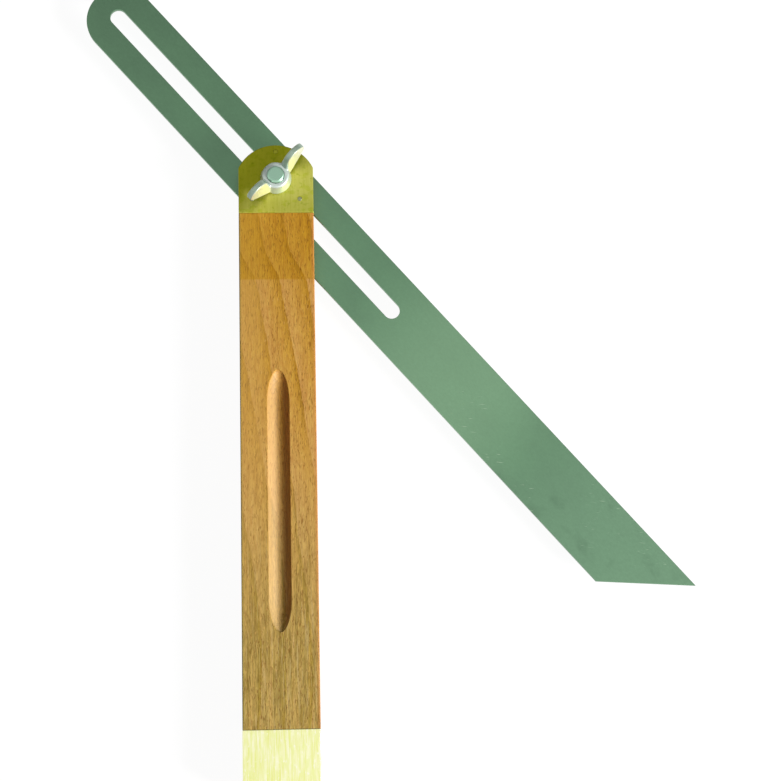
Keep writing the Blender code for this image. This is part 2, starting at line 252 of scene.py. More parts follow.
def rod(radius, low, high, centre=(0, 0), sides=ROUND_SIDES):
    """An upright round bar between two heights."""
    middle = (centre[0], centre[1], (low + high) / 2)
    bpy.ops.mesh.primitive_cylinder_add(
        vertices=sides, radius=radius, depth=high - low, location=middle
    )
    return settle()


def block(low, high):
    """A box between two opposite corners."""
    low, high = Vector(low), Vector(high)
    bpy.ops.mesh.primitive_cube_add(size=1, location=(low + high) / 2, scale=high - low)
    return settle()


def activate(piece):
    """Make one piece the only one selected, and the active one."""
    bpy.ops.object.select_all(action="DESELECT")
    piece.select_set(True)
    bpy.context.view_layer.objects.active = piece


def apply_modifier(piece, kind, **settings):
    """Add a modifier to a piece, set it up and apply it."""
    modifier = piece.modifiers.new(kind.lower(), kind)
    for name, value in settings.items():
        setattr(modifier, name, value)
    activate(piece)
    bpy.ops.object.modifier_apply(modifier=modifier.name)


def combine(piece, operation, other):
    """Cut another form from a piece, or unite the two, and delete the other form."""
    apply_modifier(piece, "BOOLEAN", operation=operation, solver="EXACT", object=other)
    bpy.data.objects.remove(other, do_unlink=True)


def soften(piece, width, segments):
    """Round the sharp edges of a piece."""
    apply_modifier(
        piece, "BEVEL", width=width, segments=segments,
        limit_method="ANGLE", angle_limit=BEVEL_ANGLE,
    )


def together(forms):
    """Several forms, clear of each other, as one."""
    bpy.ops.object.select_all(action="DESELECT")
    for form in forms:
        form.select_set(True)
    bpy.context.view_layer.objects.active = forms[0]
    bpy.ops.object.join()
    return bpy.context.object


def turned_about(piece, angle, axis, centre=(0, 0, 0)):
    """The same piece, turned about an axis through a point."""
    spot = Matrix.Translation(centre)
    turn = spot @ Matrix.Rotation(angle, 4, axis) @ spot.inverted()
    piece.matrix_world = turn @ piece.matrix_world
    activate(piece)
    return settle()


def other_side(piece):
    """The same piece on the back of the stock."""
    return turned_about(piece, pi, "Y")


def finished(piece, name, body, finish, slot, *nodes):
    """Name and shade a piece, its flat faces kept flat, and hand it to the frame."""
    piece.name = name
    piece.data.name = name
    activate(piece)
    bpy.ops.object.shade_smooth_by_angle(angle=SMOOTH_ANGLE)
    apply_modifier(piece, "WEIGHTED_NORMAL", keep_sharp=True)
    piece.data.materials.clear()
    piece.data.materials.append(finish)
    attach(piece, body)
    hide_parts(*nodes)


def head_arc():
    """Radius and middle of the arc that rounds the head, and the height where it starts."""
    radius = (HEAD_RISE**2 + HALF_WIDTH**2) / (2 * HEAD_RISE)
    return radius, STOCK_TOP - radius, STOCK_TOP - HEAD_RISE


def round_headed_slab(foot, low, high):
    """A slab as wide as the stock, from a foot up to the rounded head."""
    radius, middle, shoulder = head_arc()
    rod(radius, low, high, (0, middle), HEAD_SIDES)
    edit("FACE", everything)
    bpy.ops.mesh.bisect(
        plane_co=(0, shoulder, 0), plane_no=(0, 1, 0), use_fill=True, clear_inner=True
    )
    edit("FACE", facing((0, -1, 0)))
    bpy.ops.mesh.extrude_region_move(TRANSFORM_OT_translate={"value": (0, foot - shoulder, 0)})
    return leave_edit()


def bolt_hole(radius, low, high):
    """A cutter for a hole on the bolt's axis."""
    return rod(radius, low, high, PIVOT, ROUND_SIDES)


def countersink(clearance):
    """A cutter for the cone that the bolt's head lies in."""
    hole = bolt_hole(BOLT_RADIUS + clearance, bolt_low.z - OVERRUN, 0)
    edit("FACE", facing((0, 0, -1)))
    rim = BOLT_HEAD_RADIUS + clearance
    taper = rim - BOLT_RADIUS - clearance
    cone_foot = bolt_low.z + BOLT_HEAD_RIM
    bpy.ops.transform.translate(value=(0, 0, cone_foot + taper - bolt_low.z + OVERRUN))
    bpy.ops.mesh.extrude_region_move(TRANSFORM_OT_translate={"value": (0, 0, -taper)})
    widen(rim / (BOLT_RADIUS + clearance), PIVOT)
    bpy.ops.mesh.extrude_region_move(TRANSFORM_OT_translate={"value": (0, 0, -OVERRUN)})
    leave_edit()
    return hole


def widen(share, centre):
    """Scale what is selected about an upright axis."""
    bpy.ops.transform.resize(value=(share, share, 1), center_override=centre)


def pin_cutters(places, clearance):
    """Cutters for pin holes in the front face."""
    low, high = pin_low.z - clearance, BRASS_FACE + OVERRUN
    return [rod(PIN_RADIUS + clearance, low, high, place, PIN_SIDES) for place in places]


def groove_cutter():
    """A spindle that leaves a finger groove with run-out ends in the front face."""
    radius = ((GROOVE_WIDTH / 2) ** 2 + GROOVE_DEPTH**2) / (2 * GROOVE_DEPTH)
    share = (radius - GROOVE_DEPTH) / radius
    end_run = GROOVE_END_RUN / sqrt(1 - share**2)
    straight = GROOVE_LENGTH / 2 - GROOVE_END_RUN
    middle = (0, GROOVE_MIDDLE, HALF_THICKNESS + radius - GROOVE_DEPTH)
    bpy.ops.mesh.primitive_uv_sphere_add(
        segments=SPINDLE_SIDES, ring_count=SPINDLE_RINGS, radius=1, location=middle,
        rotation=(pi / 2, 0, 0), scale=(radius, radius, end_run),
    )
    spindle = settle()
    for way in (-1, 1):
        edit("VERT", lambda vert: (vert.co.y - GROOVE_MIDDLE) * way > 0)
        bpy.ops.transform.translate(value=(0, way * straight, 0))
        leave_edit()
    return spindle


def seat_cutters(foot, top):
    """Cutters for the shallow seats of the brass, in both faces."""
    floor = BRASS_FACE - BRASS_THICKNESS - SEAM
    side = HALF_WIDTH + OVERRUN
    low, high = (-side, foot, floor), (side, top, BRASS_FACE + OVERRUN)
    return [block(low, high), other_side(block(low, high))]


def make_stock(finish):
    """The beech stock: head, kerf, seats for the brass, holes and finger grooves."""
    stock = round_headed_slab(BRASS_THICKNESS + SEAM, -HALF_THICKNESS, HALF_THICKNESS)
    soften(stock, EDGE_ROUND, 4)
    reach = BRASS_FACE + OVERRUN
    combine(stock, "DIFFERENCE", bolt_hole(BOLT_RADIUS + BORE_CLEARANCE, -reach, reach))
    combine(stock, "DIFFERENCE", countersink(BORE_CLEARANCE))
    combine(stock, "DIFFERENCE", together([groove_cutter(), other_side(groove_cutter())]))
    pins = list(PLATE_PINS.values()) + list(CAP_PINS.values())
    holes = pin_cutters(pins, PIN_SEAM) + [other_side(hole) for hole in pin_cutters(pins, PIN_SEAM)]
    combine(stock, "DIFFERENCE", together(holes))
    side = HALF_WIDTH + OVERRUN
    beyond = STOCK_TOP + OVERRUN
    kerf = block((-side, SOLID_BUTT_LENGTH, -KERF_HALF), (side, beyond, KERF_HALF))
    combine(stock, "DIFFERENCE", kerf)
    seats = seat_cutters(PLATE_FOOT - SEAM, beyond) + seat_cutters(-OVERRUN, CAP_LENGTH + SEAM)
    combine(stock, "DIFFERENCE", together(seats))
    finished(stock, "beech_stock", "stock", finish, "beech", "stock")


def make_head_plates(finish):
    """The brass plates of the head; the back one is countersunk for the bolt."""
    for side in ("front", "back"):
        plate = round_headed_slab(PLATE_FOOT, BRASS_FACE - BRASS_THICKNESS, BRASS_FACE)
        soften(plate, BRASS_EDGE_ROUND, 3)
        combine(plate, "DIFFERENCE", together(pin_cutters(PLATE_PINS.values(), PIN_SEAM)))
        hole = bolt_hole(BOLT_RADIUS + BORE_CLEARANCE, 0, BRASS_FACE + OVERRUN)
        combine(plate, "DIFFERENCE", hole)
        if side == "back":
            other_side(plate)
            combine(plate, "DIFFERENCE", countersink(BORE_CLEARANCE))
        finished(plate, side + "_brass_plate", "stock", finish, "plate_brass", side + "_head_plate")


def folded_edge(edge):
    """A test for the two long edges at the butt end, where the cap is folded."""
    ends = [vert.co for vert in edge.verts]
    return all(end.y < SEAM for end in ends) and abs(ends[0].x - ends[1].x) > HALF_WIDTH


def open_side(face):
    """A test for the faces that a folded strip lacks: those at its two sides and its mouth."""
    return abs(face.normal.x) > FACING or face.normal.y > FACING


def make_butt_cap(finish):
    """The brass strip folded round the butt."""
    cap = block((-HALF_WIDTH, 0, -BRASS_FACE), (HALF_WIDTH, CAP_LENGTH, BRASS_FACE))
    edit("EDGE", folded_edge)
    bpy.ops.mesh.bevel(offset=CAP_BEND, segments=CAP_BEND_STEPS, affect="EDGES")
    edit("FACE", open_side)
    bpy.ops.mesh.delete(type="FACE")
    leave_edit()
    apply_modifier(cap, "SOLIDIFY", thickness=BRASS_THICKNESS, offset=-1, use_even_offset=True)
    soften(cap, BRASS_EDGE_ROUND, 3)
    holes = pin_cutters(CAP_PINS.values(), PIN_SEAM)
    holes += [other_side(hole) for hole in pin_cutters(CAP_PINS.values(), PIN_SEAM)]
    combine(cap, "DIFFERENCE", together(holes))
    finished(cap, "brass_butt_cap", "stock", finish, "cap_brass", "butt_cap")


def make_pins(finish):
    """The pins of the plates and the cap: one is made, and the others are copies of it."""
    pattern = rod(PIN_RADIUS, pin_low.z + PIN_POINT, BRASS_FACE, (0, 0), PIN_SIDES)
    edit("FACE", facing((0, 0, 1)))
    bpy.ops.mesh.bevel(offset=PIN_RIM, segments=3, affect="EDGES")
    edit("FACE", facing((0, 0, -1)))
    bpy.ops.mesh.extrude_region_move(TRANSFORM_OT_translate={"value": (0, 0, -PIN_POINT)})
    widen(1 / 2, (0, 0, 0))
    leave_edit()
    for side in ("front", "back"):
        for kind, places in (("plate", PLATE_PINS), ("cap", CAP_PINS)):
            for place, middle in places.items():
                pin = pattern.copy()
                pin.data = pattern.data.copy()
                bpy.context.scene.collection.objects.link(pin)
                pin.location = (middle.x, middle.y, 0)
                activate(pin)
                settle()
                if side == "back":
                    other_side(pin)
                node = f"{side}_{kind}_pin_{place}"
                finished(pin, "filed_" + node, "stock", finish, "pin_metal", node)
    bpy.data.objects.remove(pattern, do_unlink=True)


def make_blade(finish):
    """The blade, drawn along X with the bolt at the origin, then swung to its rest angle."""
    half_width = BLADE_WIDTH / 2
    round_middle = half_width - BLADE_PAST_BOLT
    tip = BLADE_LENGTH - BLADE_PAST_BOLT
    blade = rod(half_width, -HALF_BLADE, HALF_BLADE, (round_middle, 0), HEAD_SIDES)
    edit("FACE", everything)
    bpy.ops.mesh.bisect(
        plane_co=(round_middle, 0, 0), plane_no=(1, 0, 0), use_fill=True, clear_outer=True
    )
    edit("FACE", facing((1, 0, 0)))
    bpy.ops.mesh.extrude_region_move(TRANSFORM_OT_translate={"value": (tip - round_middle, 0, 0)})
    edit("FACE", everything)
    bpy.ops.mesh.bisect(
        plane_co=(tip, half_width, 0),
        plane_no=(sin(BLADE_POINT_ANGLE), -cos(BLADE_POINT_ANGLE), 0),
        use_fill=True, clear_outer=True,
    )
    leave_edit()
    slot_start = SLOT_FROM_ROUND_END + SLOT_WIDTH / 2 - BLADE_PAST_BOLT
    reach = HALF_BLADE + OVERRUN
    slot = rod(SLOT_WIDTH / 2 + SLOT_CLEARANCE, -reach, reach, (slot_start, 0), SLOT_SIDES)
    edit("VERT", lambda vert: vert.co.x > slot_start)
    bpy.ops.transform.translate(value=(SLOT_LENGTH - SLOT_WIDTH, 0, 0))
    leave_edit()
    combine(blade, "DIFFERENCE", slot)
    soften(blade, BLADE_EDGE_ROUND, 2)
    turned_about(blade, BLADE_TURN, "Z")
    blade.location = PIVOT
    settle()
    finished(blade, "slotted_steel_blade", "blade", finish, "blade_steel", "blade")


def thread_cutter():
    """A three-sided groove wound round the Z axis, as deep as the thread."""
    overlap = THREAD_DEPTH / 4
    crest = BOLT_RADIUS + overlap
    start = Vector((0, 0, BOLT_END - THREAD_TURNS * THREAD_PITCH))
    bpy.ops.mesh.primitive_circle_add(
        vertices=3, radius=THREAD_PITCH / 2, location=start, rotation=(pi / 2, 0, pi / 2)
    )
    cutter = settle()
    corners = [
        (crest - THREAD_DEPTH - overlap, 0, 0),
        (crest, 0, THREAD_HALF_MOUTH),
        (crest, 0, -THREAD_HALF_MOUTH),
    ]
    for vert, corner in zip(cutter.data.vertices, corners):
        vert.co = Vector(corner) + start
    apply_modifier(
        cutter, "SCREW", axis="Z", angle=2 * pi, screw_offset=THREAD_PITCH,
        iterations=THREAD_TURNS, steps=THREAD_STEPS, render_steps=THREAD_STEPS,
        use_merge_vertices=False,
    )
    edit("EDGE", everything)
    bpy.ops.mesh.fill_holes(sides=3)
    bpy.ops.mesh.normals_make_consistent(inside=False)
    leave_edit()
    cutter.location = PIVOT
    return settle()


def make_clamp_bolt(finish):
    """The bolt: countersunk head, two flats in the blade's slot, and a thread up to its end."""
    taper = BOLT_HEAD_RADIUS - BOLT_RADIUS
    neck = bolt_low.z + BOLT_HEAD_RIM + taper
    bolt = rod(BOLT_RADIUS, neck, BOLT_END, PIVOT, ROUND_SIDES)
    edit("FACE", facing((0, 0, 1)))
    bpy.ops.mesh.bevel(offset=BOLT_END_CHAMFER, segments=2, affect="EDGES")
    edit("FACE", facing((0, 0, -1)))
    bpy.ops.mesh.extrude_region_move(TRANSFORM_OT_translate={"value": (0, 0, -taper)})
    widen(BOLT_HEAD_RADIUS / BOLT_RADIUS, PIVOT)
    bpy.ops.mesh.extrude_region_move(TRANSFORM_OT_translate={"value": (0, 0, -BOLT_HEAD_RIM)})
    leave_edit()
    beyond = BOLT_RADIUS + OVERRUN
    flat = BOLT_FLATS_WIDTH / 2
    height = BOLT_FLATS_HEIGHT / 2
    upper = block((-beyond, flat, -height), (beyond, beyond, height))
    lower = block((-beyond, -beyond, -height), (beyond, -flat, height))
    flats = turned_about(together([upper, lower]), BLADE_TURN, "Z")
    flats.location = PIVOT
    combine(bolt, "DIFFERENCE", settle())
    combine(bolt, "DIFFERENCE", thread_cutter())
    finished(bolt, "threaded_clamp_bolt", "clamp_bolt", finish, "bolt_steel", "clamp_bolt")


def wing_block(way, near, far, half_width, low, high):
    """A block of a wing, between two distances from the axis and two heights over the seat."""
    across = sorted((way * near, way * far))
    return block((across[0], -half_width, NUT_SEAT + low), (across[1], half_width, NUT_SEAT + high))


def wing(way):
    """One wing of the nut, left or right: a round lobe and a root that broadens downwards."""
    lobe_x = WING_SPAN / 2 - LOBE_RADIUS
    lobe_z = NUT_SEAT + WING_HEIGHT - LOBE_RADIUS
    half_lobe = WING_LOBE_THICKNESS / 2
    bpy.ops.mesh.primitive_cylinder_add(
        vertices=LOBE_SIDES, radius=LOBE_RADIUS, depth=WING_LOBE_THICKNESS,
        location=(way * lobe_x, 0, lobe_z), rotation=(pi / 2, 0, 0),
    )
    lobe = settle()
    slope = (HUB_BASE_RADIUS - HUB_TOP_RADIUS) / HUB_HEIGHT
    far = HUB_BASE_RADIUS - slope * WING_FOOT_HEIGHT
    near = BOLT_RADIUS + (far - BOLT_RADIUS) * WING_ROOT_SHARE
    foot = WING_FOOT_HEIGHT
    heel = wing_block(way, near, far, WING_ROOT_THICKNESS / 2, foot, foot + SEAM)
    neck = wing_block(way, near, near + SEAM, half_lobe, foot, HUB_HEIGHT - HUB_TOP_ROUND)
    together([lobe, heel, neck])
    edit("VERT", everything)
    bpy.ops.mesh.convex_hull()
    return leave_edit()


def make_wing_nut(finish):
    """The wing nut: hub and wings run together as one forging, then drilled."""
    nut = rod(HUB_BASE_RADIUS, NUT_SEAT, NUT_SEAT + HUB_HEIGHT)
    edit("FACE", facing((0, 0, 1)))
    widen(HUB_TOP_RADIUS / HUB_BASE_RADIUS, (0, 0, 0))
    bpy.ops.mesh.bevel(offset=HUB_TOP_ROUND, segments=4, affect="EDGES")
    leave_edit()
    nut = together([nut, wing(-1), wing(1)])
    apply_modifier(nut, "REMESH", mode="VOXEL", voxel_size=FORGING_GRAIN)
    apply_modifier(nut, "SMOOTH", factor=FORGING_STRENGTH, iterations=FORGING_ROUNDS)
    bore = rod(BOLT_RADIUS + BORE_CLEARANCE, NUT_SEAT - OVERRUN, BOLT_END + OVERRUN)
    combine(nut, "DIFFERENCE", bore)
    turned_about(nut, WING_TURN, "Z")
    nut.location = PIVOT
    settle()
    finished(nut, "forged_wing_nut", "wing_nut", finish, "plated_steel", "wing_nut")


class Wire:
    """A shader socket that takes part in sums: each operator adds its Math node."""

    def __init__(self, finish, socket):
        self.finish = finish
        self.socket = socket

    def __add__(self, other):
        return self.finish.math("ADD", self, other)

    def __sub__(self, other):
        return self.finish.math("SUBTRACT", self, other)

    def __rsub__(self, other):
        return self.finish.math("SUBTRACT", other, self)

    def __mul__(self, other):
        return self.finish.math("MULTIPLY", self, other)

    def __truediv__(self, other):
        return self.finish.math("DIVIDE", self, other)

    def __pow__(self, other):
        return self.finish.math("POWER", self, other)

    def __abs__(self):
        return self.finish.math("ABSOLUTE", self)

    __radd__ = __add__
    __rmul__ = __mul__


class Nodes:
    """A node tree in the making."""

    def __init__(self, tree):
        self.tree = tree

    def node(self, kind, settings, sockets, output=0):
        """Add a node: first its settings, then the values or wires of its sockets."""
        made = self.tree.nodes.new("ShaderNode" + kind)
        for name, value in settings.items():
            if name == "stops":
                lay_stops(made.color_ramp, value)
            else:
                setattr(made, name, value)
        for key, value in sockets.items():
            self.feed(made.inputs[key], value)
        return Wire(self, made.outputs[output])

    def feed(self, socket, value):
        """Put a value or a wire into a socket."""
        if isinstance(value, Wire):
            self.tree.links.new(value.socket, socket)
        else:
            socket.default_value = value

    def math(self, operation, *values):
        """A Math node on one to three values."""
        return self.node("Math", {"operation": operation}, dict(enumerate(values)))

    def along(self, axis, place=None):
        """One coordinate of a place, or of the place on the piece: 0, 1 or 2 for X, Y or Z."""
        return self.node("SeparateXYZ", {}, {0: place or self.place}, axis)

    def turned(self, angle, centre):
        """The place on the piece, measured from a centre in axes turned about Z."""
        moved = self.node("VectorMath", {"operation": "SUBTRACT"}, {0: self.place, 1: centre})
        return self.node(
            "Mapping", {"vector_type": "POINT"}, {0: moved, "Rotation": (0, 0, -angle)}
        )

    def noise(self, size, detail=2.0, seed=0.0, place=None, rough=0.5):
        """Noise from 0 to 1 whose blots have a size along each axis."""
        stretch = tuple(1 / length for length in size)
        spot = self.node(
            "Mapping", {"vector_type": "POINT"},
            {0: place or self.place, "Location": (seed, seed * 1.7, seed * 0.6), "Scale": stretch},
        )
        return self.node(
            "TexNoise", {}, {0: spot, "Scale": 1.0, "Detail": detail, "Roughness": rough}
        )

    def between(self, value, low, high):
        """0 below one level and 1 above another, with a smooth rise between."""
        return self.node(
            "MapRange", {"interpolation_type": "SMOOTHSTEP"},
            {0: value, "From Min": low, "From Max": high},
        )

    def mix(self, share, first, second):
        """A colour between two."""
        return self.node("Mix", {"data_type": "RGBA"}, {0: share, 6: first, 7: second}, 2)

    def blend(self, kind, share, first, second):
        """Two colours put together by a blend mode."""
        return self.node(
            "Mix", {"data_type": "RGBA", "blend_type": kind}, {0: share, 6: first, 7: second}, 2
        )

    def ramp(self, value, stops):
        """A colour read off a ramp of places and colours."""
        return self.node("ValToRGB", {"stops": stops}, {0: value})

    def bump(self, height, distance, strength=1.0):
        """Relief on the surface, as a normal."""
        return self.node("Bump", {}, {"Strength": strength, "Distance": distance, "Height": height})

    def seen_ray(self):
        """1 for rays from the camera, and for those reflected or refracted on their way."""
        camera, glossy, through = (
            self.node("LightPath", {}, {}, f"Is {kind} Ray")
            for kind in ("Camera", "Glossy", "Transmission")
        )
        return self.math("MAXIMUM", self.math("MAXIMUM", camera, glossy), through)


class Finish(Nodes):
    """One material in the making: its nodes, and what feeds its shader."""

    def __init__(self, name):
        self.material = bpy.data.materials.new(name)
        self.material.use_nodes = True
        super().__init__(self.material.node_tree)
        self.shader = self.tree.nodes["Principled BSDF"]
        self.place = self.node("TexCoord", {}, {}, "Object")

    def done(self, **sockets):
        """Feed the shader, its sockets named with _ for spaces, and give back the material."""
        for name, value in sockets.items():
            self.feed(self.shader.inputs[name.replace("_", " ")], value)
        return self.material


def lay_stops(ramp, stops):
    """Put the stops of a colour ramp in place."""
    while len(ramp.elements) < len(stops):
        ramp.elements.new(1.0)
    for element, (place, colour) in zip(ramp.elements, stops):
        element.position = place
        element.color = colour


def tint(red, green, blue):
    """A colour as seen on a screen, from 0 to 255, in the linear values that shaders use."""
    shares = [level / 255 for level in (red, green, blue)]
    linear = [s / 12.92 if s <= 0.04045 else ((s + 0.055) / 1.055) ** 2.4 for s in shares]
    return (*linear, 1.0)


def beech():
    """Oiled beech: growth rings cut at a slant, fine fibres and short dark flecks."""
    wood = Finish("beech_finish")
    x, y, z = wood.along(0), wood.along(1), wood.along(2)
    rise = y - RING_TURN_Y
    bow = (rise * rise + RING_BOW**2) ** 0.5 * RING_SLOPE
    bow = bow + wood.between(y, RING_KINK_LOW, RING_KINK_HIGH) * RING_KINK
    waver = wood.noise((0.010, 0.045, 0.010), 2.0, 3.0) * 0.0035
    fuzz = wood.noise((0.0006, 0.003, 0.0006), 3.0, 1.0) * 0.0011
    across = x + z * RING_DEPTH_SLOPE + bow + waver + fuzz + RING_START
    ring = wood.math("FRACT", across / RING_SPACING)
    body = wood.ramp(ring, [
        (0.0, tint(211, 160, 84)),
        (0.40, tint(206, 155, 70)),
        (0.76, tint(200, 148, 52)),
        (0.92, tint(184, 134, 34)),
        (0.965, tint(176, 124, 26)),
        (1.0, tint(208, 157, 80)),
    ])
    strength = wood.noise((0.006, 0.08, 0.006), 1.0, 8.0)
    body = wood.mix(wood.between(strength, 0.35, 0.7) * 0.6, body, tint(204, 153, 64))
    butt = wood.between(y, 0.125, 0.035)
    body = wood.mix(wood.between(y, 0.150, 0.085) * 0.35, body, tint(200, 164, 104))
    body = wood.mix(butt * 0.8, body, tint(172, 148, 78))
    line = wood.between(ring, 0.76, 0.94) * (1 - wood.between(ring, 0.96, 0.985))
    body = wood.mix(line * butt * 0.6, body, tint(148, 122, 26))
    streak = wood.noise((0.0013, 0.030, 0.0013), 3.0, 5.0)
    body = wood.blend("OVERLAY", butt * 0.35 + 0.3, body, wood.ramp(streak, [
        (0.28, (0.26, 0.25, 0.16, 1)), (0.5, EVEN), (0.72, (0.68, 0.62, 0.70, 1)),
    ]))
    fibre = wood.noise((0.00030, 0.0032, 0.00030), 4.0, 2.0, rough=0.65)
    body = wood.blend("OVERLAY", butt * 0.3 + 0.6, body, wood.ramp(fibre, [
        (0.3, (0.22, 0.20, 0.12, 1)), (0.5, EVEN), (0.7, (0.74, 0.75, 0.72, 1)),
    ]))
    dark_streak = wood.between(wood.noise((0.00042, 0.011, 0.00042), 3.0, 23.0), 0.50, 0.64)
    body = wood.mix(dark_streak * butt * 0.55, body, tint(140, 112, 30))
    pale_streak = wood.between(wood.noise((0.00055, 0.014, 0.00055), 3.0, 29.0), 0.54, 0.68)
    body = wood.mix(pale_streak * butt * 0.5, body, tint(210, 184, 124))
    fleck = wood.between(wood.noise((0.00036, 0.0017, 0.00036), 1.0, 11.0), 0.58, 0.68)
    body = wood.mix(fleck * 0.5, body, tint(128, 80, 10))
    glint = wood.between(wood.noise((0.00040, 0.0016, 0.00040), 1.0, 17.0), 0.62, 0.72)
    body = wood.mix(glint * 0.35, body, tint(228, 178, 100))
    sunk = wood.between(z, HALF_THICKNESS - 0.0001, HALF_THICKNESS - 0.0008)
    beside = wood.between(abs(x), GROOVE_WIDTH / 2, GROOVE_WIDTH / 2 + 0.0002)
    in_groove = sunk * (1 - beside)
    # Painted highlight: the groove's left wall, which faces the lamp, is lightened to pale cream.
    painted_lighting = in_groove * wood.between(x, 0.0014, -0.0014)
    body = wood.mix(painted_lighting * 0.36, body, tint(240, 204, 152))
    # Painted shade: the groove's right wall, turned from the lamp, is darkened to red-brown.
    painted_groove_shade = in_groove * wood.between(x, 0.0009, 0.0026)
    body = wood.mix(painted_groove_shade * 0.6, body, tint(120, 62, 8))
    pale_side = wood.between(x, -0.001, -0.009) * (1 - butt)
    body = wood.mix(pale_side * 0.3, body, tint(214, 168, 88))
    # Above this height the wood is multiplied darker and more orange.
    darker_above = wood.between(y, DARKER_FOOT_Y - 0.0004, DARKER_FOOT_Y + 0.0004)
    body = wood.blend("MULTIPLY", darker_above, body, (0.88, 0.83, 0.36, 1))
    # Painted light: the right edge, and the right side near the faces, turned to the lamp, are
    # tinted salmon orange.
    right = wood.between(x + fibre * 0.0014, HALF_WIDTH - 0.0009, HALF_WIDTH + 0.0010)
    near_face = wood.between(abs(z), HALF_THICKNESS - 0.0042, HALF_THICKNESS - 0.0006)
    body = wood.mix(right * near_face * 0.62, body, tint(212, 138, 76))
    # Painted shade: the left edge, rounded away from the lamp, is tinted greyish olive.
    left = wood.between(x, -HALF_WIDTH + 0.0011, -HALF_WIDTH + 0.0002)
    body = wood.mix(left * 0.35, body, tint(158, 150, 76))
    relief = fibre * 0.5 - fleck * 0.8
    return wood.done(
        Base_Color=body, Roughness=fibre * 0.12 + 0.42, Specular_IOR_Level=0.25,
        Normal=wood.bump(relief, 0.00004),
    )


def brushed_brass(name, pale, deep, contrast, rough):
    """Brass with fine brush lines along the stock: the finish so far, its colour and its lines."""
    brass = Finish(name)
    fine = brass.noise((0.00016, 0.006, 0.00016), 3.0, 4.0)
    broad = brass.noise((0.0006, 0.012, 0.0006), 3.0, 6.0)
    lines = brass.between(fine * 0.5 + broad * 0.5, 0.5 - contrast, 0.5 + contrast)
    return brass, brass.mix(lines, deep, pale), fine * 0.12 + rough, brass.bump(fine, 0.000012)


def plate_brass():
    """The head plates' brass: handled and blotched, with the nut's shadow painted on in olive
    towards the upper left.
    """
    brass, body, rough, relief = brushed_brass(
        "plate_brass_finish", tint(207, 205, 106), tint(189, 188, 78), 0.3, 0.34
    )
    blots = brass.noise((0.0045, 0.0055, 0.0045), 3.0, 9.0)
    # Painted shadow of the nut: the plate is multiplied olive away from its lower right, where it
    # is left lit.
    slant = (PIVOT.y - brass.along(1)) * 1.15 + brass.along(0) * 0.9 + blots * 0.012
    painted_bright_share = brass.between(slant, -0.001, 0.0135)
    body = brass.blend("MULTIPLY", 1.0, body, brass.mix(painted_bright_share, PAINTED_SHADE_OLIVE, WHITE))
    spots = brass.between(brass.noise((0.0012, 0.0015, 0.0012), 3.0, 14.0), 0.56, 0.7)
    body = brass.blend("MULTIPLY", spots * 0.75, body, (0.72, 0.80, 0.45, 1))
    patches = brass.between(brass.noise((0.0026, 0.0021, 0.0026), 3.0, 19.0), 0.5, 0.62)
    body = brass.blend("MULTIPLY", patches * 0.8, body, (0.86, 0.92, 0.50, 1))
    foot = brass.between(brass.along(1) + blots * 0.003, PLATE_FOOT + 0.0105, PLATE_FOOT + 0.0035)
    body = brass.blend("MULTIPLY", foot * 0.6, body, (0.74, 0.74, 0.50, 1))
    return brass.done(
        Base_Color=body, Metallic=1.0, Roughness=rough + blots * 0.08, Normal=relief
    )


def cap_brass():
    """The butt cap's brass: bright, fresh from the brush."""
    brass, body, rough, relief = brushed_brass(
        "cap_brass_finish", tint(249, 248, 214), tint(232, 234, 140), 0.17, 0.3
    )
    dabs = brass.between(brass.noise((0.0011, 0.0042, 0.0011), 3.0, 26.0), 0.46, 0.62)
    body = brass.mix(dabs * 0.45, body, tint(232, 238, 150))
    gleams = brass.between(brass.noise((0.0008, 0.0022, 0.0008), 3.0, 37.0), 0.60, 0.70)
    body = brass.mix(gleams * 0.7, body, tint(252, 250, 236))
    return brass.done(Base_Color=body, Metallic=1.0, Roughness=rough, Normal=relief)


def pin_metal():
    """The pins' filed ends: greyer than the brass, and at the plates' top darkened with the plates'
    painted shadow.
    """
    metal = Finish("pin_metal_finish")
    file_marks = metal.noise((0.0005, 0.00012, 0.0005), 2.0, 2.0)
    body = metal.mix(file_marks, tint(142, 147, 104), tint(170, 174, 132))
    # Painted shade: the pin at the plates' top is darkened to the olive of the plates' painted
    # shadow.
    top = metal.between(metal.along(1), STOCK_TOP - 0.006, STOCK_TOP - 0.004)
    body = metal.mix(top, body, tint(150, 152, 44))
    return metal.done(
        Base_Color=body, Metallic=1.0, Roughness=file_marks * 0.2 + 0.3,
        Normal=metal.bump(file_marks, 0.00001),
    )


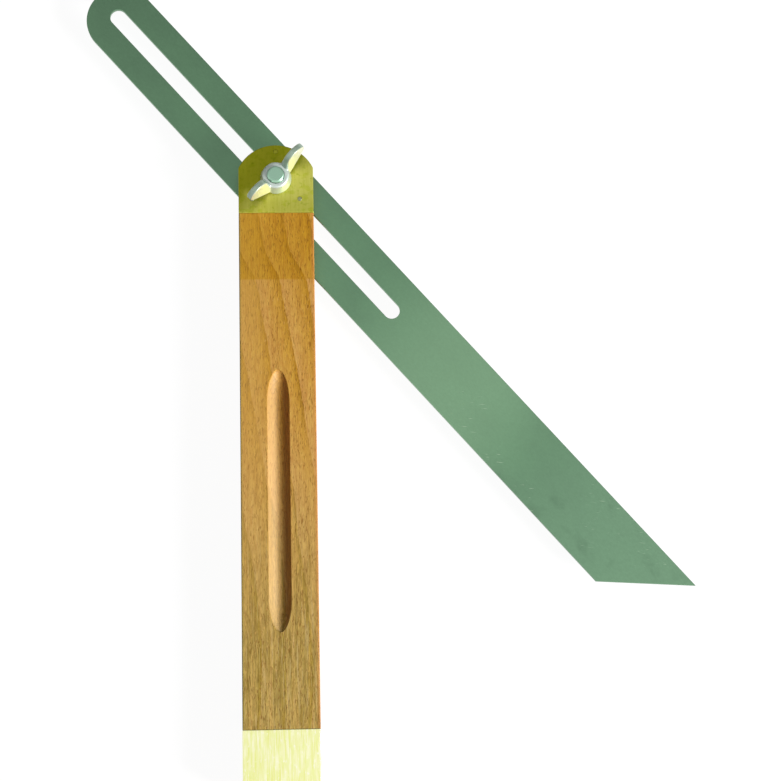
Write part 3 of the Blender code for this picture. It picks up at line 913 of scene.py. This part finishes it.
def blade_steel():
    """The blade's steel: satin, grey-green, with clouds, a few light scratches and a painted
    reflection: lighter bands along its length.
    """
    steel = Finish("blade_steel_finish")
    line = steel.turned(BLADE_TURN, PIVOT)
    along = steel.along(0, line)
    cloud = steel.noise((0.022, 0.016, 0.01), 3.0, 2.0, line)
    grain = steel.noise((0.0010, 0.0006, 0.001), 3.0, 6.0, line)
    body = steel.mix(steel.between(cloud, 0.3, 0.72), tint(106, 142, 112), tint(111, 150, 117))
    # Painted reflection: the steel is lighter in a band out from the bolt, and a little lighter
    # towards the tip.
    painted_bright_share = steel.between(along, 0.045, 0.085) * (1 - steel.between(along, 0.10, 0.14))
    middle = steel.mix(cloud, tint(127, 164, 130), tint(131, 170, 135))
    body = steel.mix(painted_bright_share * 0.9, body, middle)
    body = steel.mix(steel.between(along, 0.12, 0.17) * 0.8, body, tint(115, 150, 121))
    mottle = steel.between(steel.noise((0.010, 0.007, 0.01), 3.0, 41.0, line), 0.55, 0.75)
    body = steel.mix(mottle * steel.between(along, 0.11, 0.15) * 0.35, body, tint(88, 118, 94))
    body = steel.blend("OVERLAY", 0.25, body, steel.ramp(grain, [
        (0.2, (0.4, 0.4, 0.4, 1)), (0.8, (0.6, 0.6, 0.6, 1)),
    ]))
    scratch = steel.noise((0.0035, 0.00025, 0.001), 1.0, 21.0, steel.turned(radians(-6.0), PIVOT))
    where = steel.noise((0.02, 0.02, 0.02), 1.0, 33.0, line)
    marks = steel.between(scratch, 0.72, 0.78) * steel.between(where, 0.52, 0.6)
    marks = marks * steel.between(along, 0.06, 0.1)
    body = steel.mix(marks * 0.7, body, tint(186, 208, 180))
    return steel.done(
        Base_Color=body, Metallic=0.9, Roughness=grain * 0.1 + 0.26 - marks * 0.08,
        Normal=steel.bump(grain, 0.000008),
    )


def bolt_steel():
    """The bolt's steel: turned, grey-green."""
    steel = Finish("bolt_steel_finish")
    rings = steel.noise((0.0004, 0.0004, 0.0002), 3.0, 1.0)
    body = steel.mix(rings, tint(151, 194, 168), tint(175, 212, 188))
    return steel.done(
        Base_Color=body, Metallic=1.0, Roughness=rings * 0.15 + 0.26,
        Normal=steel.bump(rings, 0.00001),
    )


def plated_steel():
    """The wing nut's bright plating, forged under it: cream on the wings' faces as a painted
    highlight, grey-green along their rims as painted shade.
    """
    plating = Finish("plated_steel_finish")
    lumps = plating.noise((0.0016, 0.0016, 0.0016), 3.0, 7.0)
    specks = plating.noise((0.0004, 0.0004, 0.0004), 2.0, 3.0)
    body = plating.mix(lumps, tint(214, 214, 184), tint(232, 230, 200))
    spot = plating.turned(WING_TURN, PIVOT)
    out, aside = abs(plating.along(0, spot)), abs(plating.along(1, spot))
    on_wing = plating.between(
        out + lumps * 0.001, HUB_TOP_RADIUS + 0.0003, HUB_TOP_RADIUS + 0.0013
    )
    rim = 1 - plating.between(aside, WING_LOBE_THICKNESS * 0.36, WING_LOBE_THICKNESS * 0.49)
    hub = plating.mix(lumps, tint(190, 206, 198), tint(212, 220, 214))
    # Painted shade: grey-green along the wings' rims; the cream kept on the wings' faces is a
    # painted highlight.
    painted_lighting = plating.mix(lumps, tint(120, 150, 134), tint(160, 184, 170))
    body = plating.mix(1 - on_wing, body, hub)
    body = plating.mix(on_wing * rim * 0.85, body, painted_lighting)
    return plating.done(
        Base_Color=body, Metallic=0.5, Roughness=specks * 0.1 + 0.33,
        Normal=plating.bump(lumps * 0.7 + specks * 0.3, 0.00003),
    )


def make_light(name, bearing, height, distance, size, watts, aim):
    """A square soft light, turned towards the object."""
    back = Vector((cos(bearing) * cos(height), sin(bearing) * cos(height), sin(height)))
    bpy.ops.object.light_add(type="AREA", location=aim + back * distance)
    light = bpy.context.object
    light.name = name
    light.data.size = size
    light.data.energy = watts
    light.rotation_euler = back.to_track_quat("Z", "Y").to_euler()


def make_world():
    """A white surround: dimmer in reflections towards the head of the stock, and as a light."""
    world = bpy.data.worlds.new("studio")
    bpy.context.scene.world = world
    world.use_nodes = True
    sky = Nodes(world.node_tree)
    way = sky.node("TexCoord", {}, {}, "Generated")
    shade = sky.node("MapRange", {"interpolation_type": "SMOOTHSTEP"}, {
        0: sky.along(1, way), "From Min": SHADE_STARTS, "From Max": SHADE_ENDS,
        "To Min": 1.0, "To Max": HEADWARD_LEVEL,
    })
    level = sky.node("MapRange", {}, {0: sky.seen_ray(), "To Min": DOME_LEVEL, "To Max": shade})
    to_camera = sky.node("LightPath", {}, {}, "Is Camera Ray")
    backdrop = world.node_tree.nodes["Background"]
    sky.feed(backdrop.inputs["Color"], WHITE)
    sky.feed(backdrop.inputs["Strength"], sky.math("MAXIMUM", level, to_camera))


def make_floor():
    """The white table under the object: white to the eye, with a soft trace of shadow."""
    bpy.ops.mesh.primitive_plane_add(size=FLOOR_SIZE, location=(0, 0, model_low.z - SEAM))
    floor = bpy.context.object
    floor.name = "table_top"
    paper = Finish("white_paper")
    matte = paper.node("BsdfDiffuse", {}, {"Color": FLOOR_COLOUR})
    faint = paper.node("BsdfDiffuse", {}, {"Color": FLOOR_SHADOW_COLOUR})
    glow = paper.node("Emission", {}, {"Strength": FLOOR_GLOW})
    white = paper.node("AddShader", {}, {0: faint, 1: glow})
    surface = paper.node("MixShader", {}, {0: paper.seen_ray(), 1: matte, 2: white})
    paper.feed(paper.tree.nodes["Material Output"].inputs["Surface"], surface)
    floor.data.materials.append(paper.material)


def make_camera():
    """A long lens nearly straight above the stock."""
    bpy.ops.object.camera_add(location=CAMERA_PLACE, rotation=CAMERA_TURN)
    camera = bpy.context.object
    camera.data.lens = CAMERA_LENS
    camera.data.sensor_width = CAMERA_SENSOR
    camera.data.clip_start = CAMERA_NEAR
    bpy.context.scene.camera = camera


bpy.ops.object.select_all(action="DESELECT")
make_camera()
make_world()
make_floor()
make_light("key_light", KEY_BEARING, KEY_HEIGHT, KEY_DISTANCE, KEY_SIZE, KEY_WATTS, PIVOT / 2)
bpy.context.scene.view_settings.view_transform = "Standard"

make_stock(beech())
make_head_plates(plate_brass())
make_butt_cap(cap_brass())
make_pins(pin_metal())
make_blade(blade_steel())
make_clamp_bolt(bolt_steel())
make_wing_nut(plated_steel())
